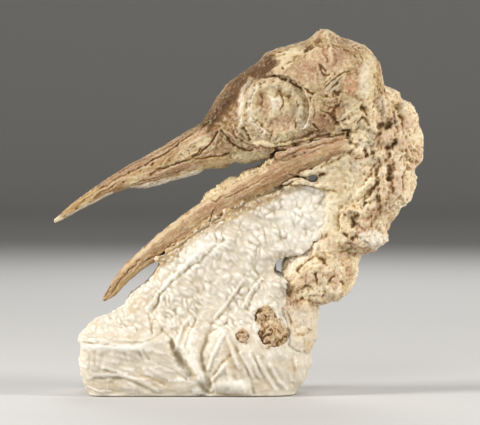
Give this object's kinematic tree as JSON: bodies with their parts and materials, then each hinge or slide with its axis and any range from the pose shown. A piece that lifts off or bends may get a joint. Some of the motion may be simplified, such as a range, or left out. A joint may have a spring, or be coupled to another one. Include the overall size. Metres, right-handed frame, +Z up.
{
  "type": "bird skull",
  "caption": "Fossil skull of a long-billed bird with its beak open, on the upper neck, standing on a hand-carved plaster web and foot.",
  "frame": {"origin": "middle of the underside's box, on the surface that the foot stands on", "axes": "+Z up, beak towards -X and back of the neck towards +X, the bird's left side towards -Y"},
  "size_m": [0.1281, 0.038, 0.1267],
  "materials": {
    "bone": "matte",
    "jaw_bone": "matte",
    "neck_bone": "matte",
    "stone": "matte",
    "plaster": "matte"
  },
  "bodies": {
    "root": {"cranium": "bone", "eye_stone_left": "stone", "eye_stone_right": "stone", "upper_beak": "bone", "lower_jaw": "jaw_bone", "tongue_stone": "stone", "neck_1": "neck_bone", "neck_2": "neck_bone", "neck_3": "neck_bone", "neck_4": "neck_bone", "neck_5": "neck_bone", "throat_stone": "stone", "bone_clod_large": "bone", "bone_clod_small": "bone", "plaster_foot": "plaster", "plaster_web": "plaster"}
  },
  "joints": []
}
